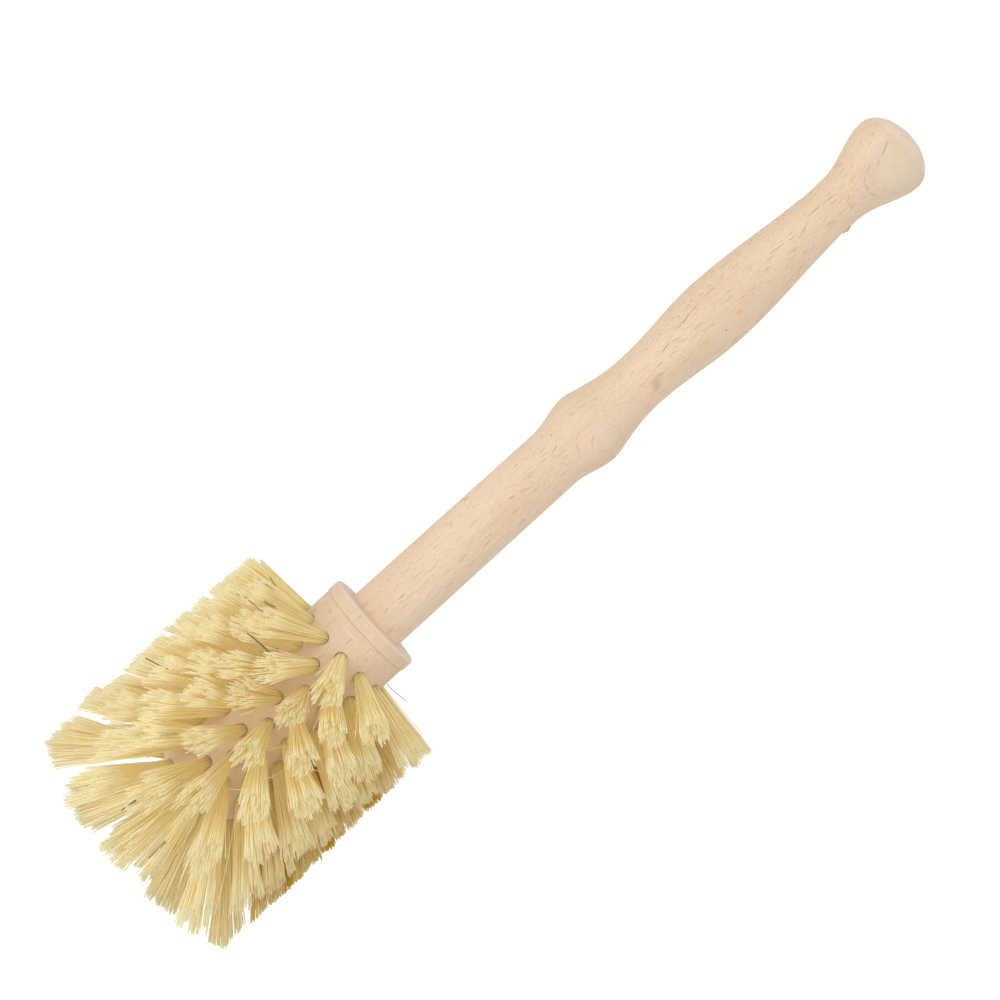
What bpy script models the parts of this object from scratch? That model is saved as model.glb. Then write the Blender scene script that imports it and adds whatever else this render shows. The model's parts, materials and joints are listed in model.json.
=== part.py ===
"""A food processor brush, lying on a table with its handle towards +X.

A turned beech handle is glued into a blind socket in the collar of a turned beech head block.
The block carries rings of plant fibre tufts, one staggered against the next, and a tufted
nose. All the pieces are modelled upright, with the handle along +Z and the collar's top face
at height 0, on an empty that then lays the brush on its bristles and on its handle's flare.
"""

import math
import random

import bmesh
import bpy
from mathutils import Matrix, Vector

# Handle lengths, from the collar's top face to the rounded end
SHAFT_LENGTH = 0.0595
BULGE_RISE = 0.0119
BULGE_FALL = 0.017
SWELL_RISE = 0.0251
SWELL_FALL = 0.041
FLARE_RISE = 0.0175
END_LENGTH = 0.0066

# Handle radii
SHAFT_RADIUS = 0.00833
SHAFT_TOP_RADIUS = 0.00807
BULGE_RADIUS = 0.01003
WAIST_RADIUS = 0.00739
SWELL_RADIUS = 0.0092
NECK_RADIUS = 0.00665
FLARE_RADIUS = 0.0107
END_FLAT_RADIUS = 0.0028

# How early each curve of the handle turns, below 1 early and above 1 late
BULGE_RISE_SKEW = 1.02
BULGE_FALL_SKEW = 0.69
SWELL_RISE_SKEW = 1.05
SWELL_FALL_SKEW = 1.03
FLARE_RISE_SKEW = 1.09

# Hanging hole, drilled across the handle below its neck
HANGING_HOLE_RADIUS = 0.0018
HANGING_HOLE_BELOW_NECK = 0.0037
HANGING_HOLE_EASING = 0.0004

# Glued joint between handle and head block, and the gap kept between all fitted pieces
SOCKET_FLOOR = 0.0012
SHAFT_CHAMFER = 0.0008
JOINT_GAP = 0.0003

# Head block
BLOCK_RADIUS = 0.01345
LIP_HEIGHT = 0.0035
LIP_PROJECTION = 0.0002
LIP_ROUND = 0.0006
GROOVE_WIDTH = 0.0005
GROOVE_DEPTH = 0.0003
SLICE_WALL = 0.003
NOSE_STRAIGHT = 0.0007
NOSE_ROUND = 0.0048

# Rows of tufts along the block
FIRST_ROW = 0.01166
ROW_PITCH = 0.00598
ROWS = 8
TUFTS_PER_ROW = 12
FIRST_LEAN = math.radians(13)
LAST_LEAN = math.radians(32)

# Circles of tufts on the nose, the outer one square to its round edge
OUTER_NOSE_TUFTS = 8
OUTER_NOSE_TILT = math.radians(40)
INNER_NOSE_TUFTS = 5
INNER_NOSE_CIRCLE = 0.0055
INNER_NOSE_TILT = math.radians(21)

# Strands, four to a tuft, which fan out and thicken towards their cut ends
STRANDS_PER_TUFT = 4
STRAND_SIDES = 4
STRAND_ROOT_RADIUS = 0.00055
STRAND_ROOT_OFFSET = 0.00085
STRAND_FAN = math.radians(5.6)
STRAND_FLARE = math.radians(2.7)
STRAND_WANDER = math.radians(1.6)
TUFT_WANDER = math.radians(1.5)

# Trimmed form of the bristles: how far they stand out of the block's side and end
SIDE_TRIM = 0.0191
SIDE_WIDENING = 0.0019
END_TRIM = 0.0299
END_CROWN = 0.0085
REST_FLAT = 0.0005

# Fineness of the faceted forms
HANDLE_STEPS = 48
BLOCK_STEPS = 48
SLICE_STEPS = 24
SPAN_POINTS = 7
ARC_POINTS = 4
TRIM_HALVINGS = 40
MERGE_DISTANCE = 0.00001
SHARP_ANGLE = math.radians(35)

# Sizes that follow from the ones above
NECK_HEIGHT = SHAFT_LENGTH + BULGE_RISE + BULGE_FALL + SWELL_RISE + SWELL_FALL
FLARE_HEIGHT = NECK_HEIGHT + FLARE_RISE
SLICE_BORE = BLOCK_RADIUS - SLICE_WALL
CORE_RADIUS = SLICE_BORE - JOINT_GAP
ROOT_DEPTH = SLICE_WALL / 2
SHOULDER_DEPTH = FIRST_ROW - ROW_PITCH / 2
CORE_END_DEPTH = SHOULDER_DEPTH + ROWS * ROW_PITCH
NOSE_END_DEPTH = CORE_END_DEPTH + NOSE_STRAIGHT + NOSE_ROUND
NOSE_FLAT_RADIUS = BLOCK_RADIUS - NOSE_ROUND
OUTER_NOSE_CIRCLE = NOSE_FLAT_RADIUS + NOSE_ROUND * math.sin(OUTER_NOSE_TILT)
SOCKET_RADIUS = SHAFT_RADIUS + JOINT_GAP
SOCKET_DEPTH = SHOULDER_DEPTH - SOCKET_FLOOR
LIP_RADIUS = BLOCK_RADIUS + LIP_PROJECTION
SLICE_TURN = math.pi / SLICE_STEPS
TRIM_RADIUS = BLOCK_RADIUS + SIDE_TRIM
TRIM_END_RADIUS = TRIM_RADIUS + SIDE_WIDENING
TRIM_END = NOSE_END_DEPTH + END_TRIM

# Colours and roughness of the bare wood and of the fibres
BEECH = (0.76, 0.58, 0.41)
BEECH_ROUGHNESS = 0.55
FIBRE = (0.80, 0.68, 0.38)
FIBRE_ROUGHNESS = 0.6

draw = random.Random(11)


def clear_scene():
    for old in list(bpy.data.objects):
        bpy.data.objects.remove(old)


def new_collection(name):
    group = bpy.data.collections.new(name)
    bpy.context.scene.collection.children.link(group)
    return group


def new_material(name, colour, roughness):
    material = bpy.data.materials.new(name)
    material.use_nodes = True
    shader = material.node_tree.nodes["Principled BSDF"]
    shader.inputs["Base Color"].default_value = (*colour, 1)
    shader.inputs["Roughness"].default_value = roughness
    shader.inputs["Metallic"].default_value = 0
    material.diffuse_color = (*colour, 1)
    return material


def turned(name, profile, steps, closed=False):
    """A lathe turned object from (radius, height) points that run down its outer side."""
    count = len(profile)
    edges = [(i, i + 1) for i in range(count - 1)]
    if closed:
        edges.append((count - 1, 0))
    mesh = bpy.data.meshes.new(name)
    mesh.from_pydata([(radius, 0, height) for radius, height in profile], edges, [])
    piece = bpy.data.objects.new(name, mesh)
    screw = piece.modifiers.new("turning", "SCREW")
    screw.steps = steps
    screw.render_steps = steps
    screw.use_merge_vertices = True
    screw.merge_threshold = MERGE_DISTANCE
    return piece


def add_boolean(piece, tool, operation):
    """Cut the piece with the tool, or join the two, keeping the tool as a hidden guide."""
    tool.hide_render = True
    tool.display_type = "WIRE"
    cut = piece.modifiers.new(tool.name, "BOOLEAN")
    cut.operation = operation
    cut.object = tool
    cut.solver = "EXACT"
    cut.material_mode = "TRANSFER"


def arc(centre_radius, centre_height, radius, first_angle, last_angle):
    """Points on a quarter round of a profile, both ends included."""
    points = []
    for i in range(ARC_POINTS + 1):
        angle = first_angle + (last_angle - first_angle) * i / ARC_POINTS
        offset_out = radius * math.cos(angle)
        offset_up = radius * math.sin(angle)
        points.append((centre_radius + offset_out, centre_height + offset_up))
    return points


def span(low, high, skew):
    """Points of a smooth S curve from one (radius, height) to the next, without the first."""
    points = []
    for i in range(1, SPAN_POINTS + 1):
        part = i / SPAN_POINTS
        ease = (1 - math.cos(math.pi * part**skew)) / 2
        radius = low[0] + (high[0] - low[0]) * ease
        points.append((radius, low[1] + (high[1] - low[1]) * part))
    return points


def grip_profile():
    """The handle above the collar, upwards: shaft, bulge, waist, swell, neck, flare, end."""
    heights = [SHAFT_LENGTH]
    for length in (BULGE_RISE, BULGE_FALL, SWELL_RISE, SWELL_FALL, FLARE_RISE):
        heights.append(heights[-1] + length)
    radii = (SHAFT_TOP_RADIUS, BULGE_RADIUS, WAIST_RADIUS, SWELL_RADIUS, NECK_RADIUS, FLARE_RADIUS)
    skews = (BULGE_RISE_SKEW, BULGE_FALL_SKEW, SWELL_RISE_SKEW, SWELL_FALL_SKEW, FLARE_RISE_SKEW)
    points = [(SHAFT_RADIUS, 0), (SHAFT_TOP_RADIUS, SHAFT_LENGTH)]
    for i, skew in enumerate(skews):
        points += span((radii[i], heights[i]), (radii[i + 1], heights[i + 1]), skew)
    last_angle = math.acos(END_FLAT_RADIUS / FLARE_RADIUS)
    for i in range(1, SPAN_POINTS + 1):
        angle = last_angle * i / SPAN_POINTS
        height = FLARE_HEIGHT + END_LENGTH * math.sin(angle) / math.sin(last_angle)
        points.append((FLARE_RADIUS * math.cos(angle), height))
    return points


def make_hole_drill():
    """A drill across the neck, wider at both mouths so that it eases their edges."""
    mouth = NECK_RADIUS - HANGING_HOLE_EASING
    wide = HANGING_HOLE_RADIUS + FLARE_RADIUS - mouth
    profile = [
        (0, FLARE_RADIUS),
        (wide, FLARE_RADIUS),
        (HANGING_HOLE_RADIUS, mouth),
        (HANGING_HOLE_RADIUS, -mouth),
        (wide, -FLARE_RADIUS),
        (0, -FLARE_RADIUS),
    ]
    drill = turned("hanging_hole_drill", profile, SLICE_STEPS)
    drill.rotation_euler.x = math.pi / 2
    drill.location.z = NECK_HEIGHT - HANGING_HOLE_BELOW_NECK
    return drill


def make_handle():
    """The turned handle, whose shaft goes down into the collar at its full thickness."""
    grip = grip_profile()
    end_height = grip[-1][1]
    foot = JOINT_GAP - SOCKET_DEPTH
    seat = [(SHAFT_RADIUS, foot + SHAFT_CHAMFER), (SHAFT_RADIUS - SHAFT_CHAMFER, foot), (0, foot)]
    return turned("handle", [(0, end_height)] + grip[::-1] + seat, HANDLE_STEPS)


def make_head_block():
    """The turned block: blind socket, collar with a lip over a fine groove, and the core."""
    lip = arc(LIP_RADIUS - LIP_ROUND, -LIP_ROUND, LIP_ROUND, math.pi / 2, 0)
    groove_top = -LIP_HEIGHT
    profile = [(0, -SOCKET_DEPTH), (SOCKET_RADIUS, -SOCKET_DEPTH), (SOCKET_RADIUS, 0)] + lip
    profile += [
        (LIP_RADIUS, groove_top),
        (BLOCK_RADIUS - GROOVE_DEPTH, groove_top - GROOVE_WIDTH / 2),
        (BLOCK_RADIUS, groove_top - GROOVE_WIDTH),
        (BLOCK_RADIUS, -SHOULDER_DEPTH),
        (CORE_RADIUS, -SHOULDER_DEPTH),
        (CORE_RADIUS, -CORE_END_DEPTH),
        (0, -CORE_END_DEPTH),
    ]
    return turned("head_block", profile, BLOCK_STEPS)


def rest_slope():
    """How fast the table under the brush nears the axis, from the bristles to the handle."""
    contact = TRIM_RADIUS - REST_FLAT
    return min((contact - radius) / (height + FIRST_ROW) for radius, height in grip_profile())


def beyond_trim(point, table_slope):
    """How far a point lies outside the trimmed bristles, or inside where it is negative."""
    radius = math.hypot(point.x, point.y)
    depth = -point.z
    along = (depth - FIRST_ROW) / (TRIM_END - FIRST_ROW)
    side = TRIM_RADIUS + SIDE_WIDENING * along
    end = TRIM_END - END_CROWN * (radius / TRIM_END_RADIUS) ** 2
    table = TRIM_RADIUS - REST_FLAT + table_slope * (depth - FIRST_ROW)
    return max(radius - side, depth - end, point.x - table)


def trimmed(root, towards, table_slope):
    """The point where a strand's edge, from its root, meets the trimmed form."""
    inside = 0.0
    outside = 2 * TRIM_END / (towards - root).length
    for _ in range(TRIM_HALVINGS):
        middle = (inside + outside) / 2
        if beyond_trim(root.lerp(towards, middle), table_slope) > 0:
            outside = middle
        else:
            inside = middle
    return root.lerp(towards, inside)


def wander(amount):
    return draw.uniform(-amount, amount)


def add_strand(bm, root, direction, side, table_slope):
    """One tapered strand with four sides, from its root to the trimmed form."""
    across = direction.cross(side).normalized()
    side = across.cross(direction).normalized()
    frame = Matrix((side, across, direction)).transposed().to_4x4()
    made = bmesh.ops.create_cone(
        bm,
        cap_ends=True,
        segments=STRAND_SIDES,
        radius1=STRAND_ROOT_RADIUS,
        radius2=STRAND_ROOT_RADIUS + SIDE_TRIM * math.tan(STRAND_FLARE),
        depth=SIDE_TRIM,
        matrix=Matrix.Translation(root + direction * SIDE_TRIM / 2) @ frame,
    )
    tips = [tip for tip in made["verts"] if (tip.co - root).dot(direction) > SIDE_TRIM / 2]
    ends = []
    for tip in tips:
        foot = next(e.other_vert(tip) for e in tip.link_edges if e.other_vert(tip) not in tips)
        ends.append(trimmed(foot.co, tip.co, table_slope))
    for tip, end in zip(tips, ends):
        tip.co = end


def add_tuft(bm, surface_point, direction, table_slope):
    """A tuft whose strands start side by side in their hole and fan out from its middle."""
    root = surface_point - direction * ROOT_DEPTH
    side = direction.orthogonal().normalized()
    for i in range(STRANDS_PER_TUFT):
        outwards = Matrix.Rotation(math.tau * i / STRANDS_PER_TUFT, 3, direction) @ side
        along = outwards.cross(direction)
        lean = STRAND_FAN + wander(STRAND_WANDER)
        twist = wander(STRAND_WANDER)
        strand = Matrix.Rotation(-lean, 3, along) @ Matrix.Rotation(twist, 3, outwards) @ direction
        add_strand(bm, root + outwards * STRAND_ROOT_OFFSET, strand, outwards, table_slope)


def around(azimuth, radius, height):
    return Vector((radius * math.cos(azimuth), radius * math.sin(azimuth), height))


def strands_object(name, tufts, table_slope):
    """All the strands of one slice, as loose bodies to be joined to it."""
    bm = bmesh.new()
    for surface_point, direction in tufts:
        add_tuft(bm, surface_point, direction, table_slope)
    mesh = bpy.data.meshes.new(name)
    bm.to_mesh(mesh)
    bm.free()
    return bpy.data.objects.new(name, mesh)


def row_tufts(row):
    """Where the tufts of a row start and point: outwards, and leaning towards the nose."""
    height = -(FIRST_ROW + row * ROW_PITCH)
    lean = FIRST_LEAN + (LAST_LEAN - FIRST_LEAN) * row / max(ROWS - 1, 1)
    tufts = []
    for i in range(TUFTS_PER_ROW):
        azimuth = math.tau * (i + row % 2 / 2) / TUFTS_PER_ROW
        tilt = lean + wander(TUFT_WANDER)
        direction = around(azimuth + wander(TUFT_WANDER), math.cos(tilt), -math.sin(tilt))
        tufts.append((around(azimuth, BLOCK_RADIUS, height), direction))
    return tufts


def nose_depth(radius):
    """Depth of the nose's surface at a radius: flat in the middle, rounded to the side."""
    past_flat = max(0, radius - NOSE_FLAT_RADIUS)
    return NOSE_END_DEPTH - NOSE_ROUND + math.sqrt(NOSE_ROUND**2 - past_flat**2)


def nose_tufts():
    """The nose's tufts: one in the middle and two circles round it."""
    circles = (
        (1, 0, 0),
        (INNER_NOSE_TUFTS, INNER_NOSE_CIRCLE, INNER_NOSE_TILT),
        (OUTER_NOSE_TUFTS, OUTER_NOSE_CIRCLE, OUTER_NOSE_TILT),
    )
    tufts = []
    for count, radius, tilt in circles:
        for i in range(count):
            azimuth = math.tau * i / count
            off_axis = tilt + wander(TUFT_WANDER)
            direction = around(azimuth + wander(TUFT_WANDER), math.sin(off_axis), -math.cos(off_axis))
            tufts.append((around(azimuth, radius, -nose_depth(radius)), direction))
    return tufts


def make_tuft_ring(row):
    """A slice of the block's wall that carries one row of tufts."""
    top = -(SHOULDER_DEPTH + row * ROW_PITCH + JOINT_GAP)
    bottom = -(SHOULDER_DEPTH + (row + 1) * ROW_PITCH)
    profile = [(BLOCK_RADIUS, top), (BLOCK_RADIUS, bottom), (SLICE_BORE, bottom), (SLICE_BORE, top)]
    ring = turned(f"tuft_ring_{row + 1}", profile, SLICE_STEPS, closed=True)
    ring.rotation_euler.z = SLICE_TURN
    return ring


def make_nose():
    """The block's rounded end, which closes the stack of slices."""
    edge = arc(NOSE_FLAT_RADIUS, NOSE_ROUND - NOSE_END_DEPTH, NOSE_ROUND, 0, -math.pi / 2)
    top = -(CORE_END_DEPTH + JOINT_GAP)
    profile = [(0, top), (BLOCK_RADIUS, top)] + edge + [(0, -NOSE_END_DEPTH)]
    nose = turned("tuft_nose", profile, SLICE_STEPS)
    nose.rotation_euler.z = SLICE_TURN
    return nose


def bake(piece):
    """Give a piece its modifiers' result as its mesh, with smooth rounds and sharp edges."""
    bpy.context.view_layer.update()
    graph = bpy.context.evaluated_depsgraph_get()
    mesh = bpy.data.meshes.new_from_object(piece.evaluated_get(graph))
    mesh.name = piece.name
    piece.modifiers.clear()
    piece.data = mesh
    mesh.shade_smooth()
    mesh.set_sharp_from_angle(angle=SHARP_ANGLE)


def lay_down(stand, pieces, table_slope):
    """Turn the upright brush onto the table and centre its footprint on the origin."""
    stand.rotation_euler.y = math.pi / 2 + math.atan(table_slope)
    bpy.context.view_layer.update()
    corners = [piece.matrix_world @ vertex.co for piece in pieces for vertex in piece.data.vertices]
    lows = [min(corner[axis] for corner in corners) for axis in range(3)]
    highs = [max(corner[axis] for corner in corners) for axis in range(3)]
    stand.location = (-(lows[0] + highs[0]) / 2, -(lows[1] + highs[1]) / 2, -lows[2])
    bpy.context.view_layer.update()


def make_tufted(slice_of_block, tufts, table_slope, guides):
    """Set strands into a slice of the block and join them to it."""
    strands = strands_object(slice_of_block.name + "_strands", tufts, table_slope)
    strands.data.materials.append(new_material(strands.name, FIBRE, FIBRE_ROUGHNESS))
    guides.objects.link(strands)
    add_boolean(slice_of_block, strands, "UNION")
    return slice_of_block


def build():
    clear_scene()
    parts = new_collection("food_processor_brush")
    guides = new_collection("guides")
    stand = bpy.data.objects.new("brush_axis", None)
    parts.objects.link(stand)
    table_slope = rest_slope()

    handle = make_handle()
    drill = make_hole_drill()
    guides.objects.link(drill)
    add_boolean(handle, drill, "DIFFERENCE")
    pieces = [handle, make_head_block()]
    for row in range(ROWS):
        pieces.append(make_tufted(make_tuft_ring(row), row_tufts(row), table_slope, guides))
    pieces.append(make_tufted(make_nose(), nose_tufts(), table_slope, guides))

    for piece in pieces:
        parts.objects.link(piece)
        piece.data.materials.append(new_material(piece.name + "_beech", BEECH, BEECH_ROUGHNESS))
        bake(piece)
    for thing in pieces + list(guides.objects):
        thing.parent = stand
    lay_down(stand, pieces, table_slope)


build()
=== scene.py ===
import json
import math

import bpy
import numpy as np
from mathutils import Matrix, Vector


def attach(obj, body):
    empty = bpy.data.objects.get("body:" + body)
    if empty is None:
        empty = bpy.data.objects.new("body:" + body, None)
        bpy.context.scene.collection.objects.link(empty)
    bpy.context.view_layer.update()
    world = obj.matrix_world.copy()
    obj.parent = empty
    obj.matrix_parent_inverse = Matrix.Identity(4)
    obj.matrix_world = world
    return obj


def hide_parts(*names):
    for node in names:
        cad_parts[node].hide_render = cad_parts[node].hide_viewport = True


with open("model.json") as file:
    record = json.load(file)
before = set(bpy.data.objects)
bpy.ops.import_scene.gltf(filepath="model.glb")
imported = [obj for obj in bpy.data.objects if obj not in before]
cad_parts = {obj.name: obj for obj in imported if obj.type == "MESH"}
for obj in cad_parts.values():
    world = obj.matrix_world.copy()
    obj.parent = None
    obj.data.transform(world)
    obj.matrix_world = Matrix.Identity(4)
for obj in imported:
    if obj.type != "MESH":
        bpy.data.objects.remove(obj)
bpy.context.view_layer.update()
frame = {"record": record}
mm = 0.001
print("scene: the packed model is loaded")

# turned handle, in millimetres: each span is its length, the radius it ends at and how late it turns
handleShape = {
    "shaftRadius": 8.33,
    "shaft": (59.5, 8.07),
    "shaftSteps": 12,
    "spans": (
        (11.9, 10.03, 1.02),     # up the bulge
        (17.0, 7.39, 0.69),      # down to the waist
        (25.1, 9.2, 1.05),       # up the swell of the grip
        (41.0, 6.65, 1.03),      # down to the neck
        (17.5, 10.7, 1.09),      # out to the flare
    ),
    "roundEnd": 6.6,
    "endFlat": 2.8,
    "footDepth": 7.0,            # how far the shaft goes down into the collar
    # the hanging hole: how far it lies below the neck, and how its mouth is eased
    "hole": {"belowNeck": 3.7, "radius": 1.8, "easing": 0.25, "lift": 0.15, "widening": 0.8,
             "roundDepth": 0.35, "roundOut": 0.12, "roundUp": 0.13, "roundSteps": 3, "sides": 40},
    "splinter": {"place": (-1.7, -6.4, 151.7), "size": (0.5, 0.55, 1.3), "rough": 0.16, "seed": 5},
    "sides": 96,
    "pointsPerSpan": 16,
}
smoothDegrees = 32               # edges sharper than this stay sharp on the turned wood
weldDistance = 0.004             # at which a lathe's seam closes

mounts = {mount["name"]: mount for mount in frame["record"]["mounts"]}
gripAxis = Vector(mounts["handle_end"]["axis"]).normalized()
gripLength = (handleShape["shaft"][0] + sum(s[0] for s in handleShape["spans"])
              + handleShape["roundEnd"]) * mm
collarTop = Vector(mounts["handle_end"]["pos_m"]) - gripAxis * gripLength
sideways = Vector((0, 1, 0))
downwards = sideways.cross(gripAxis).normalized()
# the brush is modelled upright, then laid where the CAD has it: x points down, z to the handle's end
brushPlace = Matrix.Translation(collarTop) @ Matrix((downwards, sideways, gripAxis)).transposed().to_4x4()
brushInverse = brushPlace.inverted()


def clearSelection():
    if bpy.context.object and bpy.context.object.mode != "OBJECT":
        bpy.ops.object.mode_set(mode="OBJECT")
    bpy.ops.object.select_all(action="DESELECT")


def selectOnly(piece):
    clearSelection()
    piece.select_set(True)
    bpy.context.view_layer.objects.active = piece


def applyPlace(piece, place):
    # puts the piece's place into its mesh and leaves its object at the origin
    piece.data.transform(place @ piece.matrix_world)
    piece.matrix_world = Matrix.Identity(4)
    piece.data.update()


def turnOnLathe(name, profile, sides):
    # one point is drawn out along the (radius, height) profile and spun round the upright axis
    clearSelection()
    bpy.ops.mesh.primitive_plane_add(size=mm, location=(0, 0, 0))
    piece = bpy.context.object
    piece.name = name
    piece.data.name = name
    bpy.ops.object.mode_set(mode="EDIT")
    bpy.ops.mesh.select_mode(type="VERT")
    bpy.ops.mesh.select_all(action="SELECT")
    bpy.ops.mesh.merge(type="CENTER")
    bpy.ops.transform.translate(value=(profile[0][0] * mm, 0, profile[0][1] * mm))
    for before, after in zip(profile, profile[1:]):
        step = ((after[0] - before[0]) * mm, 0, (after[1] - before[1]) * mm)
        bpy.ops.mesh.extrude_region_move(TRANSFORM_OT_translate={"value": step})
    bpy.ops.mesh.select_all(action="SELECT")
    bpy.ops.mesh.spin(steps=sides, angle=math.tau, center=(0, 0, 0), axis=(0, 0, 1))
    bpy.ops.mesh.select_all(action="SELECT")
    bpy.ops.mesh.remove_doubles(threshold=weldDistance * mm)
    bpy.ops.mesh.normals_make_consistent(inside=False)
    bpy.ops.object.mode_set(mode="OBJECT")
    return piece


def cutAway(piece, tool):
    selectOnly(piece)
    cut = piece.modifiers.new("cut", "BOOLEAN")
    cut.operation = "DIFFERENCE"
    cut.solver = "EXACT"
    cut.object = tool
    bpy.ops.object.modifier_apply(modifier=cut.name)
    bpy.data.objects.remove(tool)


def smoothByAngle(piece):
    selectOnly(piece)
    bpy.ops.object.shade_smooth_by_angle(angle=math.radians(smoothDegrees))


def finishPiece(piece, material, slotName, *nodes):
    piece.data.materials.clear()
    piece.data.materials.append(material)
    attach(piece, "root")
    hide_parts(*nodes)


def quarterRound(centreOut, centreUp, radius, firstDegrees, lastDegrees, points):
    found = []
    for i in range(points + 1):
        angle = math.radians(firstDegrees + (lastDegrees - firstDegrees) * i / points)
        found.append((centreOut + radius * math.cos(angle), centreUp + radius * math.sin(angle)))
    return found


# small helpers for the materials' node trees
def putNode(tree, kind, **settings):
    node = tree.nodes.new(kind)
    for key, value in settings.items():
        setattr(node, key, value)
    return node


def plug(tree, target, source):
    if isinstance(source, bpy.types.NodeSocket):
        tree.links.new(source, target)
    else:
        target.default_value = source


def mathOf(tree, operation, first, second=0.0):
    node = putNode(tree, "ShaderNodeMath", operation=operation)
    plug(tree, node.inputs[0], first)
    plug(tree, node.inputs[1], second)
    return node.outputs[0]


def times(tree, first, second):
    return mathOf(tree, "MULTIPLY", first, second)


def plus(tree, first, second):
    return mathOf(tree, "ADD", first, second)


def minus(tree, first, second):
    return mathOf(tree, "SUBTRACT", first, second)


def partsOf(tree, vector):
    node = putNode(tree, "ShaderNodeSeparateXYZ")
    plug(tree, node.inputs[0], vector)
    return node.outputs


def vectorOf(tree, *parts):
    node = putNode(tree, "ShaderNodeCombineXYZ")
    for target, source in zip(node.inputs, parts):
        plug(tree, target, source)
    return node.outputs[0]


def rangeOf(tree, value, low, high, toLow=0.0, toHigh=1.0, smooth=True):
    node = putNode(tree, "ShaderNodeMapRange", interpolation_type="SMOOTHSTEP" if smooth else "LINEAR")
    for name, source in (("Value", value), ("From Min", low), ("From Max", high),
                         ("To Min", toLow), ("To Max", toHigh)):
        plug(tree, node.inputs[name], source)
    return node.outputs["Result"]


def mixOf(tree, factor, first, second, blend="MIX"):
    node = putNode(tree, "ShaderNodeMix", data_type="RGBA", blend_type=blend, clamp_factor=True)
    plug(tree, node.inputs[0], factor)
    plug(tree, node.inputs[6], first)
    plug(tree, node.inputs[7], second)
    return node.outputs[2]


def stretchOf(tree, vector, scale, shift=(0, 0, 0)):
    node = putNode(tree, "ShaderNodeMapping")
    plug(tree, node.inputs["Vector"], vector)
    plug(tree, node.inputs["Scale"], scale)
    plug(tree, node.inputs["Location"], shift)
    return node.outputs["Vector"]


# fields of noise in the wood and the fibres: their stretch, shift, detail and roughness
noiseFields = {
    "rayWaver": ((0.09, 0.12, 0.03), (0, 0, 0), 3.0, 0.5),
    "ringFade": ((0.2, 0.2, 0.05), (3, 7, 1), 1.0, 0.5),
    "drift": ((0.13, 0.13, 0.028), (0, 0, 0), 2.0, 0.5),
    "streak": ((2.6, 2.6, 0.16), (0, 0, 0), 3.0, 0.6),
    "fineStreak": ((6.5, 6.5, 0.55), (0, 0, 0), 2.0, 0.6),
    "sheetBend": ((0.25, 0.25, 0.12), (5, 2, 9), 1.0, 0.5),
    "nap": ((3.6, 3.6, 1.1), (2, 5, 8), 3.0, 0.65),          # what sanding leaves
    "sheen": ((1.5, 1.5, 0.3), (0, 0, 0), 2.0, 0.5),
    "markWaver": ((1.3, 1.3, 1.2), (4, 8, 2), 2.0, 0.6),
    "mottle": ((0.7, 0.7, 0.45), (7, 3, 5), 4.0, 0.65),
    "greyShadeDrift": ((0.3, 0.3, 0.09), (1, 6, 3), 3.0, 0.6),
    "fibreStreak": ((0.8, 0.8, 0.8), (0, 0, 0), 3.0, 0.6),
}


def noiseOf(tree, vector, field):
    stretch, shift, detail, roughness = noiseFields[field]
    node = putNode(tree, "ShaderNodeTexNoise", noise_dimensions="3D")
    plug(tree, node.inputs["Vector"], stretchOf(tree, vector, stretch, shift))
    for name, value in (("Scale", 1.0), ("Detail", detail), ("Roughness", roughness)):
        plug(tree, node.inputs[name], value)
    return node.outputs["Fac"]


def swayOf(tree, vector, field, width):
    # noise that swings to both sides of nought
    return times(tree, minus(tree, noiseOf(tree, vector, field), 0.5), width)


def spotsOf(tree, vector, size, softness):
    # spots of uneven size, one in each cell of the stretched space
    node = putNode(tree, "ShaderNodeTexVoronoi", voronoi_dimensions="3D", feature="F1")
    plug(tree, node.inputs["Vector"], vector)
    plug(tree, node.inputs["Scale"], 1.0)
    plug(tree, node.inputs["Randomness"], 1.0)
    channels = putNode(tree, "ShaderNodeSeparateColor")
    plug(tree, channels.inputs[0], node.outputs["Color"])
    reach = times(tree, channels.outputs[0], size)
    inner = times(tree, reach, softness)
    return rangeOf(tree, node.outputs["Distance"], inner, reach, 1.0, 0.0), channels.outputs[1]


def newMaterial(name):
    material = bpy.data.materials.new(name)
    material.use_nodes = True
    tree = material.node_tree
    return material, tree, tree.nodes["Principled BSDF"]


# beech, shared by the handle and the head block; lengths are in millimetres of the upright brush
beechLook = {
    "pale": (0.82, 0.635, 0.455, 1),
    "warm": (0.775, 0.575, 0.395, 1),
    "ringTint": (0.69, 0.475, 0.315, 1),
    "fleck": (0.44, 0.27, 0.16, 1),
    "radialAngle": 202,          # the way that the rays run, in degrees round the axis
    "rayWaver": 0.5,
    "ringStart": 0.29,
    "ringSpacing": 0.595,
    "ringLine": (0.62, 0.97),    # the part of a ring in which its dark line comes up
    "ringFade": (0.38, 0.68, 0.15, 1.0),
    "fleckCell": (8.0, 0.40, 5.2),   # along the rays, across them, along the grain
    "fleckSize": 0.42,
    "fleckSoft": 0.35,
    "fleckTone": (0.0, 1.0, 0.25, 0.85),
    "fineFleck": {"shares": (0.5, 0.5, 0.4), "soft": 0.3, "tone": 0.6},
    "sheetBend": 2.4,
    "driftRange": (0.3, 0.7),
    "streakShade": (0.3, 0.7, 0.965, 1.03),
    "fineStreakShade": (0.3, 0.7, -0.03, 0.03),
    "napShade": (0.36, 0.64, -0.05, 0.04),
    "relief": {"streak": 0.35, "fineStreak": 0.4, "nap": 0.8, "marks": 0.8},
    "sheenRange": (0.3, 0.7),
    "roughness": (0.5, 0.62),
    "specular": 0.35,
    "bumpDepth": 0.0001,         # in metres
}


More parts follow.
